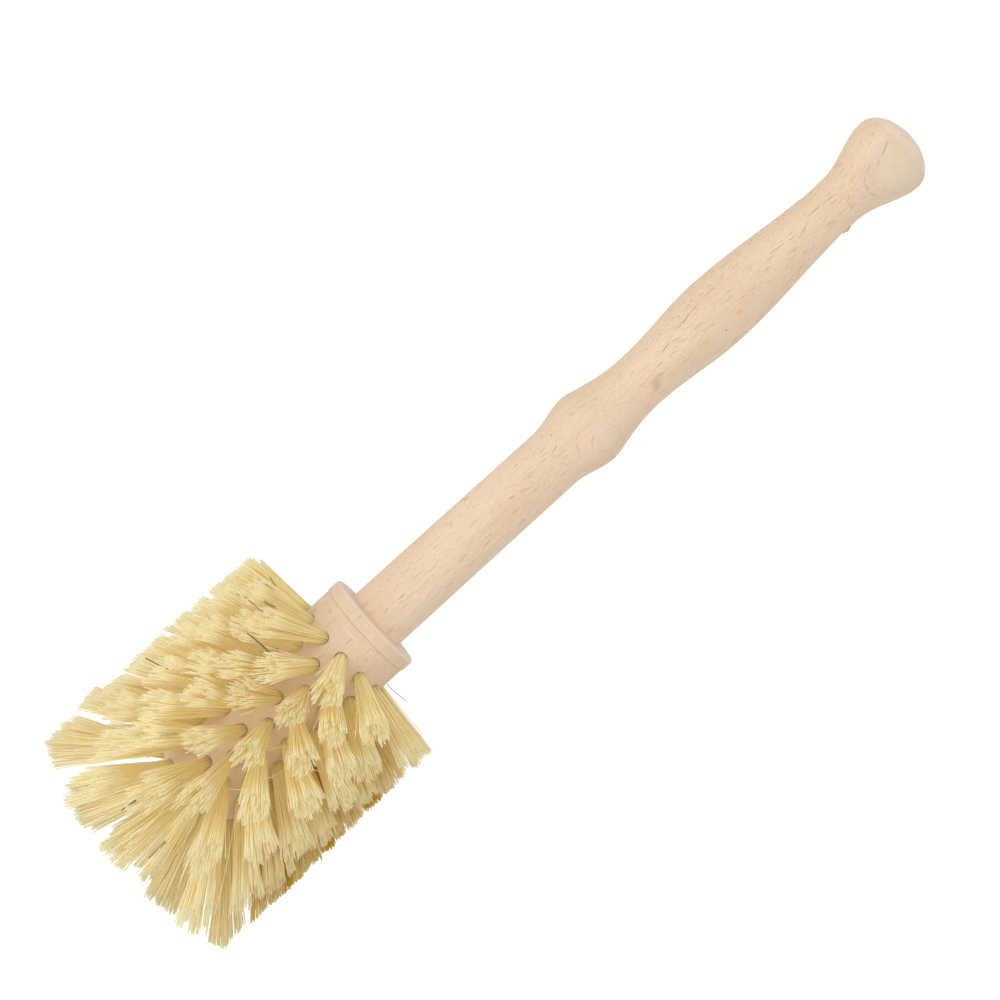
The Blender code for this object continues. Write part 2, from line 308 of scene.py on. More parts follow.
def buildBeechGroup():
    look = beechLook
    group = bpy.data.node_groups.new("beechFigure", "ShaderNodeTree")
    for name, kind, value in (("Place", "NodeSocketVector", None), ("Flecks", "NodeSocketFloat", 0.6),
                              ("Rings", "NodeSocketFloat", 0.3), ("Tilt", "NodeSocketFloat", 0.0)):
        socket = group.interface.new_socket(name=name, in_out="INPUT", socket_type=kind)
        if value is not None:
            socket.default_value = value
    for name, kind in (("Color", "NodeSocketColor"), ("Height", "NodeSocketFloat"),
                       ("Radial", "NodeSocketFloat")):
        group.interface.new_socket(name=name, in_out="OUTPUT", socket_type=kind)
    given = putNode(group, "NodeGroupInput").outputs
    end = putNode(group, "NodeGroupOutput")
    place = given["Place"]

    # turned so that x runs along the rays and y across them
    turn = putNode(group, "ShaderNodeVectorRotate", rotation_type="Z_AXIS")
    plug(group, turn.inputs["Vector"], place)
    plug(group, turn.inputs["Angle"], -math.radians(look["radialAngle"]))
    turned = turn.outputs[0]
    alongRays, acrossRays, alongGrain = partsOf(group, turned)
    radial = plus(group, alongRays, times(group, alongGrain, given["Tilt"]))
    radial = plus(group, radial, swayOf(group, turned, "rayWaver", look["rayWaver"]))

    # growth rings: a thin darker line at the end of each
    ring = mathOf(group, "DIVIDE", minus(group, radial, look["ringStart"]), look["ringSpacing"])
    ring = mathOf(group, "FRACT", ring)
    lineEnd = rangeOf(group, ring, look["ringLine"][1], 1.0, 1.0, 0.0)
    ringLine = times(group, rangeOf(group, ring, *look["ringLine"]), lineEnd)
    ringLine = times(group, ringLine, rangeOf(group, noiseOf(group, place, "ringFade"), *look["ringFade"]))

    # ray flecks: thin sheets, seen as dashes where the surface faces along them
    bent = plus(group, acrossRays, swayOf(group, place, "sheetBend", look["sheetBend"]))

    def flecksOf(shares, soft):
        cells = [mathOf(group, "DIVIDE", part, size * share)
                 for part, size, share in zip((alongRays, bent, alongGrain), look["fleckCell"], shares)]
        return spotsOf(group, vectorOf(group, *cells), look["fleckSize"], soft)

    fleck, tone = flecksOf((1, 1, 1), look["fleckSoft"])
    fleck = times(group, fleck, rangeOf(group, tone, *look["fleckTone"]))
    fine = look["fineFleck"]
    fineFleck = times(group, flecksOf(fine["shares"], fine["soft"])[0], fine["tone"])
    marks = times(group, mathOf(group, "MAXIMUM", fleck, fineFleck), given["Flecks"])

    # drifts of colour, streaks along the grain and the nap
    streak, fineStreak, nap = (noiseOf(group, place, field) for field in ("streak", "fineStreak", "nap"))
    drift = rangeOf(group, noiseOf(group, place, "drift"), *look["driftRange"])
    colour = mixOf(group, drift, look["pale"], look["warm"])
    colour = mixOf(group, times(group, ringLine, given["Rings"]), colour, look["ringTint"])
    shade = plus(group, rangeOf(group, streak, *look["streakShade"]),
                 rangeOf(group, fineStreak, *look["fineStreakShade"]))
    shade = plus(group, shade, rangeOf(group, nap, *look["napShade"]))
    grey = putNode(group, "ShaderNodeCombineColor")
    for i in range(3):
        plug(group, grey.inputs[i], shade)
    colour = mixOf(group, 1.0, colour, grey.outputs[0], "MULTIPLY")
    colour = mixOf(group, marks, colour, look["fleck"])
    relief = look["relief"]
    height = plus(group, times(group, streak, relief["streak"]),
                  times(group, fineStreak, relief["fineStreak"]))
    height = plus(group, height, times(group, nap, relief["nap"]))
    height = minus(group, height, times(group, marks, relief["marks"]))
    for name, source in (("Color", colour), ("Height", height), ("Radial", radial)):
        plug(group, end.inputs[name], source)
    return group


beechFigure = buildBeechGroup()


def brushCoordinates(tree):
    # object coordinates turned upright and counted in millimetres from the collar's top
    where = putNode(tree, "ShaderNodeTexCoord")
    turn = putNode(tree, "ShaderNodeMapping", vector_type="POINT")
    plug(tree, turn.inputs["Vector"], where.outputs["Object"])
    turn.inputs["Rotation"].default_value = brushInverse.to_euler("XYZ")
    turn.inputs["Scale"].default_value = (1000, 1000, 1000)
    turn.inputs["Location"].default_value = brushInverse.to_translation() * 1000
    return turn.outputs["Vector"]


def buildBeechMaterial(name, settings):
    material, tree, shader = newMaterial(name)
    place = brushCoordinates(tree)
    figure = putNode(tree, "ShaderNodeGroup")
    figure.node_tree = beechFigure
    plug(tree, figure.inputs["Place"], stretchOf(tree, place, (1, 1, 1), settings["shift"]))
    plug(tree, figure.inputs["Rings"], settings["rings"])
    plug(tree, figure.inputs["Tilt"], settings["tilt"])
    flecks = settings["flecks"]
    plug(tree, figure.inputs["Flecks"], flecks(tree, place) if callable(flecks) else flecks)
    colour, height = settings["marks"](tree, place, figure)
    plug(tree, shader.inputs["Base Color"], colour)
    shader.inputs["Specular IOR Level"].default_value = beechLook["specular"]
    sheen = noiseOf(tree, place, "sheen")
    plug(tree, shader.inputs["Roughness"],
         rangeOf(tree, sheen, *beechLook["sheenRange"], *beechLook["roughness"]))
    bump = putNode(tree, "ShaderNodeBump")
    bump.inputs["Strength"].default_value = settings["bump"]
    bump.inputs["Distance"].default_value = beechLook["bumpDepth"]
    plug(tree, bump.inputs["Height"], height)
    plug(tree, shader.inputs["Normal"], bump.outputs["Normal"])
    return material


# marks of the wood: the height and the degrees from the top of one end and of the other, the half width and
# the strength; heights and widths are in millimetres
handleGrain = {
    "flare": (
        (173.2, 22, 168.1, 9, 0.15, 0.8), (167.7, 9, 166.4, 4, 0.14, 0.7),
        (165.9, 15, 163.1, 7, 0.13, 0.65), (163.1, 7, 160.9, -6, 0.13, 0.6),
        (171.6, 43, 170.7, 41, 0.13, 0.6), (171.4, 64, 169.4, 61, 0.14, 0.5),
        (169.5, 36, 168.0, 34, 0.14, 0.55), (168.2, 50, 167.0, 49, 0.13, 0.5),
        (167.7, 61, 165.2, 62, 0.13, 0.5), (164.4, 40, 163.1, 40, 0.12, 0.45),
        (162.9, 36, 161.1, 34, 0.13, 0.5), (160.9, 48, 158.9, 43, 0.13, 0.5),
        (160.0, -2, 159.0, -3, 0.16, 0.6), (152.8, -74, 150.8, -78, 0.9, 0.6),
    ),
    "grip": (
        (155.3, 19, 151.1, 24, 0.15, 0.95), (151.1, 24, 145.4, 24, 0.16, 0.95),
        (144.0, 8, 141.6, 9, 0.14, 0.7), (140.9, 12, 138.4, 12, 0.15, 0.75),
        (138.0, 15, 132.2, 17, 0.15, 0.75), (133.6, 11, 131.1, 11, 0.14, 0.5),
        (131.1, 0, 128.6, 2, 0.2, 0.5), (135.5, 64, 133.6, 61, 0.15, 0.6),
        (132.9, 67, 129.8, 60, 0.14, 0.5), (128.4, 59, 126.3, 59, 0.18, 0.5),
        (125.9, 60, 120.9, 58, 0.14, 0.45), (121.1, 40, 119.4, 41, 0.13, 0.45),
        (118.5, 36, 113.1, 36, 0.14, 0.6), (126.1, 41, 122.9, 41, 0.13, 0.45),
        (121.6, -6, 120.0, -6, 0.15, 0.5), (111.7, -6, 110.0, -7, 0.2, 0.45),
        (112.5, 35, 108.2, 32, 0.15, 0.75), (109.0, 33, 105.3, 28, 0.15, 0.9),
        (105.3, 28, 103.2, 29, 0.15, 0.9), (100.6, 21, 96.4, 16, 0.18, 0.95),
        (95.7, 3, 93.4, 3, 0.25, 0.45), (91.3, -45, 89.9, -44, 0.18, 0.55),
    ),
    "shaft": (
        (78.0, 32, 75.2, 36, 0.12, 0.7), (75.2, 36, 72.3, 37, 0.12, 0.65), (71.1, 38, 69.8, 38, 0.12, 0.5),
        (63.8, 40, 62.9, 39, 0.2, 0.75), (62.9, 19, 60.3, 15, 0.19, 0.75), (58.7, 15, 56.0, 17, 0.15, 0.6),
        (52.7, 45, 50.7, 43, 0.15, 0.7), (53.5, 10, 51.6, 10, 0.15, 0.55), (46.8, 4, 44.9, 6, 0.28, 0.55),
        (20.4, 35, 16.0, 32, 0.13, 0.55), (16.0, 32, 12.3, 35, 0.12, 0.5), (10.4, 5, 8.1, 6, 0.18, 0.6),
        (5.0, 7, 3.2, 3, 0.2, 0.55),
    ),
    "heartEdge": (
        (161.6, -3, 160.9, -21, 0.32, 0.7), (160.9, -21, 161.8, -37, 0.36, 0.7),
        (161.8, -37, 163.0, -43, 0.3, 0.45), (173.1, -22, 172.9, -22, 0.2, 0.5),
        (172.3, -32, 172.1, -33, 0.22, 0.4), (69.3, 12, 66.3, 0, 0.2, 0.55),
        (66.3, 0, 65.3, -21, 0.24, 0.65), (71.3, -7, 69.1, -15, 0.26, 0.75),
        (69.1, -15, 69.0, -22, 0.24, 0.6), (75.1, -7, 77.1, -31, 0.22, 0.5),
        (77.1, -31, 75.5, -48, 0.22, 0.5), (75.5, -48, 72.8, -48, 0.2, 0.4),
        (68.9, -31, 71.1, -42, 0.26, 0.6),
    ),
    "warm": (
        (118.4, -21, 117.2, -20, 1.1, 1.0), (128.4, -19, 127.8, -19, 0.5, 0.7),
        (107.2, -21, 106.4, -20, 0.8, 1.0), (35.5, -24, 35.2, -24, 0.35, 0.8), (2.2, 39, 0.6, 40, 1.0, 0.7),
        (98.8, -16, 98.2, -24, 0.6, 0.7), (2.0, 19, 0.4, 20, 0.8, 0.6), (2.4, -25, 0.4, -26, 1.0, 0.8),
        (1.2, -63, 0.0, -66, 0.9, 0.7),
    ),
    "patch": (
        (157.2, 0, 155.4, -12, 0.6, 0.5), (155.4, -12, 155.7, -27, 0.65, 0.65),
        (91.6, -14, 90.3, -25, 1.7, 0.85), (94.4, -13, 92.2, -11, 0.75, 0.9),
        (91.6, -27, 89.6, -31, 1.1, 0.6), (29.0, -17, 25.4, -16, 0.6, 0.6),
        (26.6, -15, 25.6, -19, 0.6, 0.5), (44.6, -19, 43.4, -19, 0.6, 0.4),
        (51.8, -12, 50.8, -12, 0.5, 0.35),
    ),
    "torn": (
        (159.9, 27, 158.2, 23, 0.16, 0.9), (159.6, 20, 157.4, 21, 0.15, 0.8),
        (159.9, 10, 157.4, 11, 0.17, 0.9), (158.9, 15, 157.0, 17, 0.14, 0.7),
        (158.4, 3, 156.6, 6, 0.13, 0.6),
    ),
    "dot": ((112.5, -28, 112.3, -28, 0.2, 1.0),),
}
blockGrain = {
    "dashes": (
        (-5.2, 39, -7.9, 40, 0.11, 0.4), (-4.6, 36, -9.0, 37, 0.10, 0.35), (-5.6, 7, -8.9, 8, 0.12, 0.45),
        (-4.2, -15, -5.9, -13, 0.12, 0.4), (-13.5, 15, -16.4, 17, 0.12, 0.4),
        (-6.1, -20, -8.2, -19, 0.12, 0.35), (-9.3, -19, -10.5, -19, 0.12, 0.35),
        (-2.9, 49, -3.9, 50, 0.11, 0.35), (-0.6, 18, -1.8, 18, 0.11, 0.4), (-4.4, 62, -7.1, 63, 0.11, 0.4),
        (-1.4, -8, -2.6, -8, 0.11, 0.35), (-2.2, 33, -3.3, 33, 0.11, 0.35),
    ),
    # painted shade: a dark line in the shallow groove under the lip
    "grooveShade": ((-3.78, 54, -3.78, -26, 0.15, 0.5),),
    # a low ridge, given as bump, with a painted highlight along part of it
    "ridgeHighlight": ((-5.85, 27, -6.0, -3, 0.2, 1.0), (-5.35, -9, -5.1, -25, 0.18, 0.9)),
}

markLook = {
    "radius": 8.3,               # at which the surface is rolled out flat for the marks
    "uneven": {"lines": 0.3, "patches": 1.5, "block": 0.1},
    "usualSoft": 0.4,            # the share of a mark's width at which it begins to fade
    "soft": {"warm": 0.2, "heartEdge": 0.3, "patch": 0.15, "torn": 0.2, "grooveShade": 0.1, "ridgeHighlight": 0.2},
}


def rolledOut(tree, place, marks):
    # the wood's surface as a flat sheet: x runs round it in millimetres, y along the grain
    x, y, z = partsOf(tree, place)
    turn = mathOf(tree, "ARCTAN2", y, times(tree, x, -1.0))
    waver = swayOf(tree, place, "markWaver", markLook["uneven"][marks])
    return vectorOf(tree, plus(tree, times(tree, turn, markLook["radius"]), waver), z)


def afterMarks(tree, sheet, done):
    # the same sheet, worked out once the marks before are done, so that fewer values are held at a time
    node = putNode(tree, "ShaderNodeVectorMath", operation="ADD")
    plug(tree, node.inputs[0], sheet)
    plug(tree, node.inputs[1], times(tree, done, 0.000001))      # too little to move a mark
    return node.outputs[0]


def marksOf(tree, sheet, grain, name):
    soft = markLook["soft"].get(name, markLook["usualSoft"])
    total = None
    for height, degrees, nextHeight, nextDegrees, width, strength in grain[name]:
        first = Vector((math.radians(degrees) * markLook["radius"], height))
        last = Vector((math.radians(nextDegrees) * markLook["radius"], nextHeight))
        node = putNode(tree, "ShaderNodeMapping", vector_type="TEXTURE")
        plug(tree, node.inputs["Vector"], sheet)
        node.inputs["Location"].default_value = (*((first + last) / 2), 0)
        node.inputs["Rotation"].default_value = (0, 0, math.atan2(last.y - first.y, last.x - first.x))
        node.inputs["Scale"].default_value = ((last - first).length / 2 + width, width, 1)
        away = putNode(tree, "ShaderNodeVectorMath", operation="LENGTH")
        plug(tree, away.inputs[0], node.outputs["Vector"])
        mask = rangeOf(tree, away.outputs["Value"], soft, 1.0, strength, 0.0)
        total = mask if total is None else mathOf(tree, "MAXIMUM", total, mask)
    return total


# where the handle's colour changes: ranges of a height, of the place along the rays, of a noise or of a side
handleZones = {
    "bulgeHeight": 74.0,
    "bulge": (8.0, 14.0, 0.25, 0.62),
    "flare": (156.0, 164.0, 1.0, 0.55),
    "heartRing": (7.4, 7.9),
    "heartStart": (157.0, 160.0),
    "heartEnd": (173.0, 174.8, 0.34, 0.0),
    "mottle": (0.5, 0.66),
    "mottleInHeart": (0.1, 0.34, 0.0, 0.4),
    "mottleShadeSide": (0.0, -6.0, 0.3, 1.0),
    # the paler rounded end is a painted highlight
    "roundEnd": (173.4, 175.3, 0.0, 0.5),
    # the grey drift is painted shade on the side away from the light; the foot below is painted light
    "greyShadeDrift": (0.44, 0.6),
    "greyShadeSide": (-2.0, -6.0, 0.0, 0.45),
    "litFoot": (3.4, 0.2, 0.0, 0.6),
    "paleRing": (9.3, 9.8),
    "paleShare": 0.3,
}
handleTints = {
    "heart": (0.655, 0.575, 0.45, 1),
    "mottle": (0.62, 0.48, 0.33, 1),
    # the colour of the painted highlight on the rounded end
    "roundEnd": (0.93, 0.78, 0.63, 1),
    # colours of the painted shade's grey drift and of the painted light on the shaft's foot
    "greyShadeDrift": (0.74, 0.64, 0.49, 1),
    "litFoot": (0.95, 0.72, 0.53, 1),
    "paleRing": (0.80, 0.63, 0.48, 1),
    "warm": (0.80, 0.50, 0.29, 1),
    "heartEdge": (0.62, 0.40, 0.28, 1),
    "patch": (0.64, 0.42, 0.27, 1),
    "line": (0.40, 0.25, 0.16, 1),
    "torn": (0.92, 0.80, 0.58, 1),
    "dot": (0.10, 0.07, 0.05, 1),
}


def handleFlecks(tree, place):
    # the rays face the eye less on the bulge and on the flare
    up = partsOf(tree, place)[2]
    away = mathOf(tree, "ABSOLUTE", minus(tree, up, handleZones["bulgeHeight"]))
    return times(tree, rangeOf(tree, away, *handleZones["bulge"]), rangeOf(tree, up, *handleZones["flare"]))


def handleMarks(tree, place, figure):
    colour = figure.outputs["Color"]
    radial = figure.outputs["Radial"]
    sheet = rolledOut(tree, place, "lines")
    aside, up = partsOf(tree, place)[1:]

    def within(value, zone):
        return rangeOf(tree, value, *handleZones[zone])

    def tinted(mask, name):
        return mixOf(tree, mask, colour, handleTints[name])

    def marked(name):
        return marksOf(tree, sheet, handleGrain, name)

    # the greener heart of the flare, inside one growth ring
    heart = times(tree, within(radial, "heartRing"), within(up, "heartStart"))
    heart = times(tree, heart, within(up, "heartEnd"))
    colour = tinted(heart, "heart")
    # the heart's darker mottle is its own colour; its growth towards the side away from the light is painted
    # shade
    mottle = times(tree, within(noiseOf(tree, place, "mottle"), "mottle"), within(heart, "mottleInHeart"))
    colour = tinted(times(tree, mottle, within(aside, "mottleShadeSide")), "mottle")
    # painted highlight: the rounded end is coloured paler, where light catches its round edge
    colour = tinted(within(up, "roundEnd"), "roundEnd")
    # painted shade: greyer drifts on the side away from the light; and painted light: a paler, warmer foot
    # of the shaft, against the shade under the collar's lip
    drift = within(noiseOf(tree, place, "greyShadeDrift"), "greyShadeDrift")
    colour = tinted(times(tree, drift, within(aside, "greyShadeSide")), "greyShadeDrift")
    colour = tinted(within(up, "litFoot"), "litFoot")
    # a paler patch inside the rings of the bulge
    colour = tinted(times(tree, within(radial, "paleRing"), handleZones["paleShare"]), "paleRing")
    for name in ("warm", "heartEdge"):
        colour = tinted(marked(name), name)
    patches = marksOf(tree, rolledOut(tree, place, "patches"), handleGrain, "patch")
    colour = tinted(patches, "patch")
    sheet = afterMarks(tree, sheet, patches)
    lines = mathOf(tree, "MAXIMUM", marked("flare"), marked("grip"))
    sheet = afterMarks(tree, sheet, lines)
    lines = mathOf(tree, "MAXIMUM", lines, marked("shaft"))
    colour = tinted(lines, "line")
    for name in ("torn", "dot"):
        colour = tinted(marked(name), name)
    return colour, figure.outputs["Height"]


# painted shade and highlight: the collar's ring face is coloured greyer than the side, and its lip's rounded
# edge paler, for how the light falls on them
blockZones = {
    "face": {"height": (-0.5, -0.1), "radius": (13.5, 12.9), "share": 0.7},
    "lipHighlight": {"height": (-0.75, -0.3), "radius": (12.8, 13.2), "share": 0.4},
}
blockTints = {
    "whole": (0.64, 0.50, 0.36, 1),
    "line": (0.40, 0.25, 0.16, 1),
    "grooveShade": (0.55, 0.37, 0.25, 1),
    "ridgeHighlight": (0.92, 0.79, 0.63, 1),
    "face": (0.80, 0.69, 0.55, 1),
    "lipHighlight": (0.92, 0.77, 0.59, 1),
}
blockShares = {"whole": 0.2, "ridgeRelief": 1.5}


def blockMarks(tree, place, figure):
    colour = figure.outputs["Color"]
    sheet = rolledOut(tree, place, "block")
    x, y, up = partsOf(tree, place)

    def tinted(mask, name):
        return mixOf(tree, mask, colour, blockTints[name])

    colour = tinted(blockShares["whole"], "whole")
    lines = marksOf(tree, sheet, blockGrain, "dashes")
    colour = tinted(lines, "line")
    # painted shade in the groove under the lip
    colour = tinted(marksOf(tree, sheet, blockGrain, "grooveShade"), "grooveShade")
    # a low ridge's bump, with a painted highlight along part of it
    ridgeHighlight = marksOf(tree, sheet, blockGrain, "ridgeHighlight")
    colour = tinted(ridgeHighlight, "ridgeHighlight")
    out = mathOf(tree, "SQRT", plus(tree, mathOf(tree, "POWER", x, 2.0), mathOf(tree, "POWER", y, 2.0)))
    # painted shade on the ring face and a painted highlight on the lip's edge
    for name, zone in blockZones.items():
        mask = times(tree, rangeOf(tree, up, *zone["height"]), rangeOf(tree, out, *zone["radius"]))
        colour = tinted(times(tree, mask, zone["share"]), name)
    height = minus(tree, figure.outputs["Height"], lines)
    return colour, plus(tree, height, times(tree, ridgeHighlight, blockShares["ridgeRelief"]))


handleBeech = buildBeechMaterial("handleBeech", {
    "shift": (0, 0, 0),
    "flecks": handleFlecks,
    "marks": handleMarks,
    "rings": 0.3,
    "tilt": 0.0045,
    "bump": 0.5,
})
blockBeech = buildBeechMaterial("blockBeech", {
    "shift": (11, -4, 37),
    "flecks": 0.5,
    "marks": blockMarks,
    "rings": 0.35,
    "tilt": -0.01,
    "bump": 0.45,
})
print("scene: the beech finishes are mixed")


def gripProfile():
    shape = handleShape
    points = [(0, -shape["footDepth"]), (shape["shaftRadius"], -shape["footDepth"])]
    shaftLength, radius = shape["shaft"]
    steps = shape["shaftSteps"]
    for i in range(steps + 1):
        points.append((shape["shaftRadius"] + (radius - shape["shaftRadius"]) * i / steps,
                       shaftLength * i / steps))
    height = shaftLength
    for length, nextRadius, skew in shape["spans"]:
        for i in range(1, shape["pointsPerSpan"] + 1):
            part = i / shape["pointsPerSpan"]
            ease = (1 - math.cos(math.pi * part**skew)) / 2
            points.append((radius + (nextRadius - radius) * ease, height + length * part))
        height += length
        radius = nextRadius
    lastAngle = math.acos(shape["endFlat"] / radius)
    for i in range(1, shape["pointsPerSpan"] + 1):
        angle = lastAngle * i / shape["pointsPerSpan"]
        points.append((radius * math.cos(angle),
                       height + shape["roundEnd"] * math.sin(angle) / math.sin(lastAngle)))
    points.append((0, points[-1][1]))
    return points


def makeHandle():
    shape = handleShape
    handle = turnOnLathe("turnedHandle", gripProfile(), shape["sides"])
    neckRadius = shape["spans"][3][1]
    neckHeight = shape["shaft"][0] + sum(s[0] for s in shape["spans"][:4])
    reach = shape["spans"][4][1]
    hole = shape["hole"]
    mouth = neckRadius - hole["easing"] + hole["lift"]
    wide = hole["radius"] + (reach - mouth) * hole["widening"]
    roundStart = mouth - hole["roundDepth"]
    easing = [(hole["radius"] + hole["roundOut"] * k * k, roundStart + hole["roundUp"] * k)
              for k in range(1, hole["roundSteps"] + 1)]
    side = [(0, reach), (wide, reach)] + easing[::-1] + [(hole["radius"], roundStart)]
    mirrored = [(out, -up) for out, up in reversed(side)]
    drill = turnOnLathe("hangingHole", side + mirrored, hole["sides"])
    place = Matrix.Translation((0, 0, (neckHeight - hole["belowNeck"]) * mm))
    applyPlace(drill, place @ Matrix.Rotation(math.pi / 2, 4, "X"))
    cutAway(handle, drill)
    # a torn crumb of wood left by the drill at the edge of the hole
    splinter = shape["splinter"]
    clearSelection()
    bpy.ops.mesh.primitive_ico_sphere_add(subdivisions=3, radius=mm, location=(0, 0, 0))
    crumb = bpy.context.object
    draw = np.random.default_rng(splinter["seed"])
    for vertex in crumb.data.vertices:
        push = 1 + draw.normal(0, splinter["rough"])
        vertex.co = [vertex.co[i] * splinter["size"][i] * push + splinter["place"][i] * mm
                     for i in range(3)]
    selectOnly(handle)
    crumb.select_set(True)
    bpy.ops.object.join()
    smoothByAngle(handle)
    applyPlace(handle, brushPlace)
    finishPiece(handle, handleBeech, "beech_handle", "handle")
    return handle


handle = makeHandle()
print("scene: the handle is turned", len(handle.data.vertices), "vertices")

# turned head block, in millimetres below the collar's top
blockShape = {
    "radius": 13.45,
    "footDepth": 9,
    "jointRadius": 8.4,
    "jointEasing": 0.12,
    "lipHeight": 3.6,
    "lipProjection": 0.24,
    "lipRound": 0.8,
    "lipRoundSteps": 6,
    "lipEasing": (0.08, 0.12),   # in and up, at its lower edge
    "grooveWidth": 0.3,
    "grooveDepth": 0.07,
    "grooveFloor": (0.4, 0.6),   # the part of its width that is deepest
    "grooveEasing": (0.03, 0.1),
    "wallSteps": 24,
    "endDepth": 62.01,
    "noseRound": 4.8,
    "noseRoundSteps": 10,
    "noseFlat": 4.5,             # radius of the innermost ring of faces on the nose
    "sides": 120,
    "holeRadius": 1.68,
    "holeDepth": 2.2,
    "holeSides": 18,
}

# how the tufts stand in the block
tuftLayout = {
    "firstRow": 11.66,
    "rowPitch": 5.98,
    "rows": 8,
    "perRow": 12,
    "firstLean": 13.0,
    "lastLean": 32.0,
    "noseCircles": ((1, 0.0, 0.0), (5, 5.5, 21.0), (8, None, 40.0)),
    "wander": 2.4,
    "noseWander": 3.2,
    "seed": 11,
    # tufts that lean in a way of their own: their lean to the nose and their degrees from the top
    "leaning": {
        (0, 2): (13, 112), (0, 3): (13, 92), (0, 9): (11, -90), (0, 10): (12, -112), (0, 5): (18, 45),
        (0, 6): (16, -7), (0, 7): (13, -35), (0, 8): (10, -66), (1, 2): (14, 98), (1, 5): (19, 25),
        (1, 6): (16, -22), (2, 5): (20, 37), (2, 6): (13, 0), (2, 7): (14, -41), (3, 2): (21, 96),
        (3, 3): (18, 72), (3, 5): (10, 25), (3, 6): (11, -22), (3, 7): (11, -53), (4, 3): (26, 87),
        (4, 5): (15, 40), (4, 6): (18, -3), (4, 7): (13, -41), (5, 2): (26, 102), (5, 3): (27, 82),
        (5, 5): (19, 20), (5, 6): (20, -23), (5, 7): (22, -57), (6, 3): (31, 81), (6, 5): (27, 41),
        (6, 7): (21, -41), (7, 2): (31, 105), (7, 3): (30, 101), (7, 4): (31, 46), (7, 6): (33, -24),
        (7, 7): (33, -58), (8, 7): (35, 96), (8, 8): (46, 121), (8, 9): (36, 34), (8, 2): (60, 132),
        (8, 3): (54, 153), (8, 1): (69, 173), (8, 0): (71, 177), (8, 6): (58, -180), (8, 10): (46, 10),
        (8, 4): (55, -156), (8, 5): (64, -118), (8, 11): (41, -40), (8, 12): (43, -81), (8, 13): (60, -115),
    },
    # tufts unlike the rest: how much shorter they are, and their share of the usual fan
    "unlike": {
        (8, 1): (3.3, 0.85), (8, 0): (3.2, 0.9), (8, 6): (2.6, 0.9), (8, 10): (1.9, 0.8),
        (8, 4): (1.9, 0.95), (8, 11): (0.9, 0.85), (8, 9): (0.6, 0.9), (8, 7): (0.0, 0.75),
        (8, 8): (0.4, 0.85), (8, 2): (-0.2, 0.8), (8, 3): (-1.2, 0.65), (8, 5): (-0.4, 1.0),
        (6, 2): (1.8, 0.9), (6, 3): (0.8, 0.8), (7, 3): (-0.8, 0.65), (7, 2): (-0.4, 0.8),
        (1, 2): (-0.8, 0.85), (0, 2): (-1.1, 1.0), (5, 2): (0.2, 0.8), (5, 3): (0.2, 0.85),
        (3, 2): (-0.6, 0.8), (4, 3): (-0.3, 0.85), (4, 2): (1.0, 0.85), (3, 3): (0.3, 0.85),
        (2, 3): (-0.1, 0.85), (0, 10): (0.5, 1.0), (0, 9): (0.2, 0.95), (7, 8): (-0.5, 1.0),
        (6, 8): (-0.4, 1.0), (6, 9): (-0.5, 1.0), (5, 8): (-0.4, 1.0),
    },
}


def noseDepth(radius):
    shape = blockShape
    pastFlat = max(0.0, radius - (shape["radius"] - shape["noseRound"]))
    return shape["endDepth"] - shape["noseRound"] + math.sqrt(shape["noseRound"]**2 - pastFlat**2)


def layOutTufts():
    # a list of rows, the nose last; each tuft has the point where it leaves the wood and its direction
    layout = tuftLayout
    draw = np.random.default_rng(layout["seed"])
    rows = []

    def tuftAt(azimuth, radius, depth, offAxis, wander, own=None):
        azimuthLean = azimuth + math.radians(draw.uniform(-1, 1) * wander)
        tilt = math.radians(offAxis + draw.uniform(-1, 1) * wander)
        if own:
            azimuthLean = math.pi - math.radians(own[1])
            tilt = math.radians(90 - own[0])
        point = Vector((radius * math.cos(azimuth), radius * math.sin(azimuth), -depth))
        direction = Vector((math.sin(tilt) * math.cos(azimuthLean), math.sin(tilt) * math.sin(azimuthLean),
                            -math.cos(tilt)))
        return point, direction

    for row in range(layout["rows"]):
        lean = layout["firstLean"] + (layout["lastLean"] - layout["firstLean"]) * row / (layout["rows"] - 1)
        depth = layout["firstRow"] + row * layout["rowPitch"]
        rows.append([tuftAt(math.tau * (i + row % 2 / 2) / layout["perRow"], blockShape["radius"], depth,
                            90 - lean, layout["wander"], layout["leaning"].get((row, i)))
                     for i in range(layout["perRow"])])
    nose = []
    for count, radius, offAxis in layout["noseCircles"]:
        if radius is None:       # the outer circle stands square to the round edge
            radius = (blockShape["radius"] - blockShape["noseRound"]
                      + blockShape["noseRound"] * math.sin(math.radians(offAxis)))
        for i in range(count):
            nose.append(tuftAt(math.tau * i / count, radius, noseDepth(radius), offAxis,
                               layout["noseWander"], layout["leaning"].get((layout["rows"], len(nose)))))
    rows.append(nose)
    return rows


tuftRows = layOutTufts()


